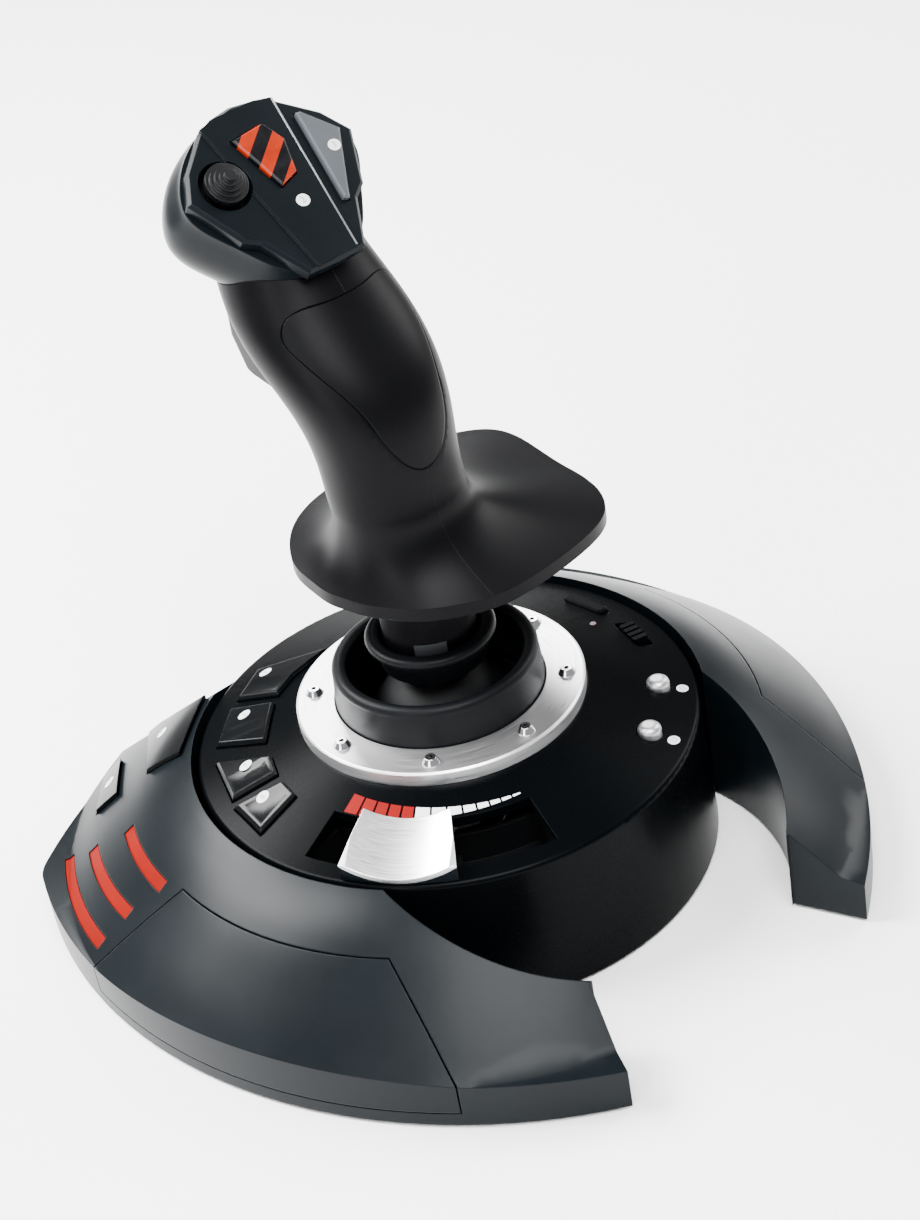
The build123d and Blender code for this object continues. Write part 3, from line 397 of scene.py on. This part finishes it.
# ------------------------------------------------------------------ printed labels
INK_T = 0.06
LABEL_SIDES = 32
DIGIT_T = 0.03
DIGIT_SIZE = 1.5


def label(name, centre, normal, along, half_u, half_v, body, text):
    """A thin white oval with a small grey number on it."""
    n, u, v = basis(normal, along)
    rim = []
    for k in range(LABEL_SIDES):
        t = 2 * math.pi * k / LABEL_SIDES
        rim.append(centre + u * (half_u * math.cos(t)) + v * (half_v * math.sin(t)))
    verts = [p - n * INK_T for p in rim] + [p + n * INK_T for p in rim]
    faces = [tuple(range(LABEL_SIDES, 2 * LABEL_SIDES)), tuple(reversed(range(LABEL_SIDES)))]
    for k in range(LABEL_SIDES):
        j = (k + 1) % LABEL_SIDES
        faces.append((k, j, LABEL_SIDES + j, LABEL_SIDES + k))
    piece(name, verts, faces, WHITE_INK, body)

    curve = bpy.data.curves.new(name + "_text", "FONT")
    curve.body = text
    curve.size = half_v * DIGIT_SIZE * MM
    curve.align_x, curve.align_y = "CENTER", "CENTER"
    curve.extrude = DIGIT_T * MM
    curve.materials.append(GREY_INK)
    glyph = bpy.data.objects.new(name + "_number", curve)
    bpy.context.scene.collection.objects.link(glyph)
    turn = Matrix((u, v, n)).transposed().to_4x4()
    turn.translation = (centre + n * (INK_T + DIGIT_T)) * MM
    glyph.matrix_world = turn
    bpy.context.view_layer.update()
    mesh = bpy.data.meshes.new_from_object(glyph.evaluated_get(bpy.context.evaluated_depsgraph_get()))
    solid = bpy.data.objects.new(name + "_digit", mesh)
    bpy.context.scene.collection.objects.link(solid)
    solid.matrix_world = turn
    bpy.data.objects.remove(glyph)
    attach(solid, body)


CLEAR_ABOVE = 200.0


def surface_under(node, x, y):
    """Point in mm and normal where a line straight down meets a key, or None."""
    above = Vector((x, y, CLEAR_ABOVE)) * MM
    found, point, normal, _ = key_tops[node].ray_cast(above, Vector((0, 0, -1)))
    return (point / MM, normal) if found else None


USER_RIGHT = Vector((1, 0, 0))
LABEL_LIFT = 0.06
# Key number, then its label's radius and angle round the stick.
KEY_LABELS = ((5, 58.2, 111.5), (6, 56.9, 132.0), (7, 57.0, 156.0), (8, 57.9, 171.0), (9, 85.0, 127.0),
              (10, 102.5, 130.5))
for number, radius, angle in KEY_LABELS:
    node = "base_button_%d" % number
    spot = polar(radius, angle)
    hit = surface_under(node, spot.x, spot.y)
    if hit:
        point, normal = hit
        label("label_%d" % number, point + LABEL_LIFT * normal.normalized(), normal, USER_RIGHT, 2.0, 1.55,
              node, str(number))
SIDE_LABEL_R = 65.5
for number, angle in ((11, -41.4), (12, -61.7)):
    spot = polar(SIDE_LABEL_R, angle, cone_height(SIDE_LABEL_R))
    label("label_%d" % number, spot, cone_normal(angle), USER_RIGHT, 1.9, 1.5,
          "base", str(number))
label("label_2", on_head(1.1, 27.2), HEAD_NORMAL, USER_RIGHT, 1.9, 1.7, "grip", "2")
label("label_3", on_head(17.7, 18.1, 0.9), HEAD_NORMAL, USER_RIGHT, 1.8, 1.6,
      "thumb_button_grey", "3")

# ------------------------------------------------------------------ printed throttle scale
SCALE_OUT = 50.2
SCALE_STARTS = [-163.0, -158.0, -153.2, -148.7, -144.3, -140.0, -134.8, -129.8, -125.0, -120.6, -116.5,
                -112.8, -109.2, -106.0]
SCALE_RED = 5
SCALE_GAP = 0.7
SCALE_CURL, SCALE_TAPER, SCALE_THIN = 1.5, 5.4, 0.3
SCALE_STEPS = 4
UPPER = 2 * (SCALE_STEPS + 1)


def scale_share(angle):
    return (angle - SCALE_STARTS[0]) / (SCALE_STARTS[-1] - SCALE_STARTS[0])


def scale_outer(angle):
    return SCALE_OUT - SCALE_CURL * scale_share(angle) ** 2


def scale_inner(angle):
    return scale_outer(angle) - SCALE_TAPER * (1 - scale_share(angle)) - SCALE_THIN


for index in range(len(SCALE_STARTS) - 1):
    first, last = SCALE_STARTS[index], SCALE_STARTS[index + 1] - SCALE_GAP
    verts = []
    for lift in (-INK_T, INK_T):
        for k in range(SCALE_STEPS + 1):
            angle = first + (last - first) * k / SCALE_STEPS
            for radius in (scale_inner(angle), scale_outer(angle)):
                verts.append(polar(radius, angle, cone_height(radius) + lift))
    faces = []
    for k in range(SCALE_STEPS):
        a, b = 2 * k, UPPER + 2 * k
        faces.append((a, a + 2, a + 3, a + 1))
        faces.append((b, b + 1, b + 3, b + 2))
        faces.append((a, b, b + 2, a + 2))
        faces.append((a + 1, a + 3, b + 3, b + 1))
    a, b = 2 * SCALE_STEPS, UPPER + 2 * SCALE_STEPS
    faces.append((0, 1, UPPER + 1, UPPER))
    faces.append((a, b, b + 1, a + 1))
    scale_ink = RED_INK if index < SCALE_RED else WHITE_INK
    piece("scale_%02d" % index, verts, faces, scale_ink, "base")

# ------------------------------------------------------------------ small raised details
def bead(name, start, end, radius, look, body, sides=10):
    """A slim rounded bar between two points in mm."""
    n, u, v = basis(end - start, (0.2, 0.9, 0.1))
    verts, faces = [], []
    for place in (start, end):
        for k in range(sides):
            t = 2 * math.pi * k / sides
            verts.append(place + u * (radius * math.cos(t)) + v * (radius * math.sin(t)))
    for k in range(sides):
        j = (k + 1) % sides
        faces.append((k, j, sides + j, sides + k))
    faces.append(tuple(reversed(range(sides))))
    faces.append(tuple(range(sides, 2 * sides)))
    return piece(name, verts, faces, look, body, smooth=True)


def neck_tab(name, r_in, r_out, start, end, low, high, look, body, steps=12):
    """A curved pad lying on the stick's neck."""
    verts, faces = [], []
    for k in range(steps + 1):
        angle = start + (end - start) * k / steps
        for radius, height in ((r_in, low), (r_out, low), (r_out, high), (r_in, high)):
            verts.append(polar(radius, angle, height))
    for k in range(steps):
        a, b = 4 * k, 4 * k + 4
        for i in range(4):
            j = (i + 1) % 4
            faces.append((a + i, b + i, b + j, a + j))
    faces.append((3, 2, 1, 0))
    faces.append((4 * steps, 4 * steps + 1, 4 * steps + 2, 4 * steps + 3))
    return piece(name, verts, faces, look, body)


TAB_LOOK = moulded("look_tab", (0.016, 0.017, 0.019), 0.5, depth=0.004, specular=0.08)
TAB_R_IN, TAB_R_OUT = 12.7, 13.2
TAB_START, TAB_END = -148.0, -109.0
TAB_LOW, TAB_HIGH = 73.6, 77.4
neck_tab("neck_tab", TAB_R_IN, TAB_R_OUT, TAB_START, TAB_END, TAB_LOW, TAB_HIGH, TAB_LOOK,
         "grip")

SCREWS = 8
BEZEL_TOP, SCREW_CIRCLE, SCREW_RISE, RECESS_R = 55.4, 35.0, 1.7, 0.75
RECESS_DOWN, RECESS_UP = Vector((0, 0, 0.25)), Vector((0, 0, 0.04))
# Near-black plugs sitting in the screw tops: painted shade standing in for the dark of the screws' driving
# recesses.
for index in range(SCREWS):
    top = polar(SCREW_CIRCLE, index * 360.0 / SCREWS, BEZEL_TOP + SCREW_RISE)
    bead("screw_recess_shade_%d" % index, top - RECESS_DOWN, top + RECESS_UP, RECESS_R,
         LOOKS["component_black"], "base", sides=6)

# A light grey, glossy bead along the head plate's right ridge: a painted highlight standing in for the light
# caught by the ridge's chamfer.
RIDGE_HIGHLIGHT_LOOK = moulded("look_ridge_painted_highlight", (0.11, 0.12, 0.13), 0.22, depth=0.002, specular=0.5)
RIDGE_SINK, RIDGE_R = -0.15, 0.32
bead("ridge_right_painted_highlight", on_head(11.3, -0.6, RIDGE_SINK), on_head(6.3, 43.6, RIDGE_SINK), RIDGE_R, RIDGE_HIGHLIGHT_LOOK,
     "grip")

# ------------------------------------------------------------------ floor, light, camera
floor_nodes = Nodes("look_floor")
paper = floor_nodes.noise(floor_nodes.place(), 7.0)
floor_nodes.join(floor_nodes.tint(paper, (0.925, 0.925, 0.925), (0.935, 0.935, 0.935)),
                 floor_nodes.shader.inputs["Base Color"])
floor_nodes.shader.inputs["Roughness"].default_value = 0.9
floor_nodes.shader.inputs["Specular IOR Level"].default_value = 0.05
FLOOR_LOOK = floor_nodes.material
FLOOR_HALF = 6.0
floor_mesh = bpy.data.meshes.new("floor")
corners = [(x * FLOOR_HALF, y * FLOOR_HALF, 0) for x, y in ((-1, -1), (1, -1), (1, 1), (-1, 1))]
floor_mesh.from_pydata(corners, [], [(0, 1, 2, 3)])
floor = bpy.data.objects.new("floor", floor_mesh)
bpy.context.scene.collection.objects.link(floor)
floor_mesh.materials.append(FLOOR_LOOK)


def soft_light(name, place, target, width, height, power):
    data = bpy.data.lights.new(name, "AREA")
    data.shape = "RECTANGLE"
    data.size, data.size_y, data.energy = width, height, power
    lamp = bpy.data.objects.new(name, data)
    bpy.context.scene.collection.objects.link(lamp)
    lamp.location = place
    lamp.rotation_mode = "QUATERNION"
    lamp.rotation_quaternion = (Vector(target) - Vector(place)).to_track_quat("-Z", "Y")


# Places and sizes of the lights are in metres, and their power in watts.
CENTRE = (0.0, 0.0, 0.09)
soft_light("back_left", (-0.42, 0.85, 0.92), CENTRE, 0.9, 0.45, 60)
soft_light("crown", (-0.56, 0.42, 1.05), CENTRE, 0.3, 0.5, 22)
soft_light("back_right", (0.62, 0.85, 0.78), CENTRE, 0.5, 0.25, 9)
soft_light("right", (0.95, -0.10, 0.70), CENTRE, 0.45, 0.7, 14)
soft_light("left", (-0.95, -0.35, 0.50), CENTRE, 0.25, 0.8, 9)
soft_light("above", (-0.32, -0.58, 1.25), CENTRE, 0.7, 0.7, 42)

world = bpy.data.worlds.new("studio")
world.use_nodes = True
world.node_tree.nodes["Background"].inputs["Color"].default_value = (1, 1, 1, 1)
world.node_tree.nodes["Background"].inputs["Strength"].default_value = 0.5
bpy.context.scene.world = world

CAM_TURN, CAM_RISE, CAM_ROLL = (math.radians(a) for a in (-35.97, 33.71, 10.01))
CAM_DISTANCE, CAM_ACROSS, CAM_UP = 701.17, -2.54, 65.31
CAM_LENS = 72.24
flat = math.cos(CAM_RISE)
back = Vector((math.sin(CAM_TURN) * flat, -math.cos(CAM_TURN) * flat, math.sin(CAM_RISE)))
level = Vector((math.cos(CAM_TURN), math.sin(CAM_TURN), 0))
upward = back.cross(level)
right = level * math.cos(CAM_ROLL) - upward * math.sin(CAM_ROLL)
up = level * math.sin(CAM_ROLL) + upward * math.cos(CAM_ROLL)
camera_data = bpy.data.cameras.new("camera")
camera_data.lens = CAM_LENS
camera_data.sensor_width = 36.0
camera = bpy.data.objects.new("camera", camera_data)
bpy.context.scene.collection.objects.link(camera)
turn = Matrix((right, up, back)).transposed().to_4x4()
turn.translation = (back * CAM_DISTANCE + right * CAM_ACROSS + up * CAM_UP) * MM
camera.matrix_world = turn
bpy.context.scene.camera = camera
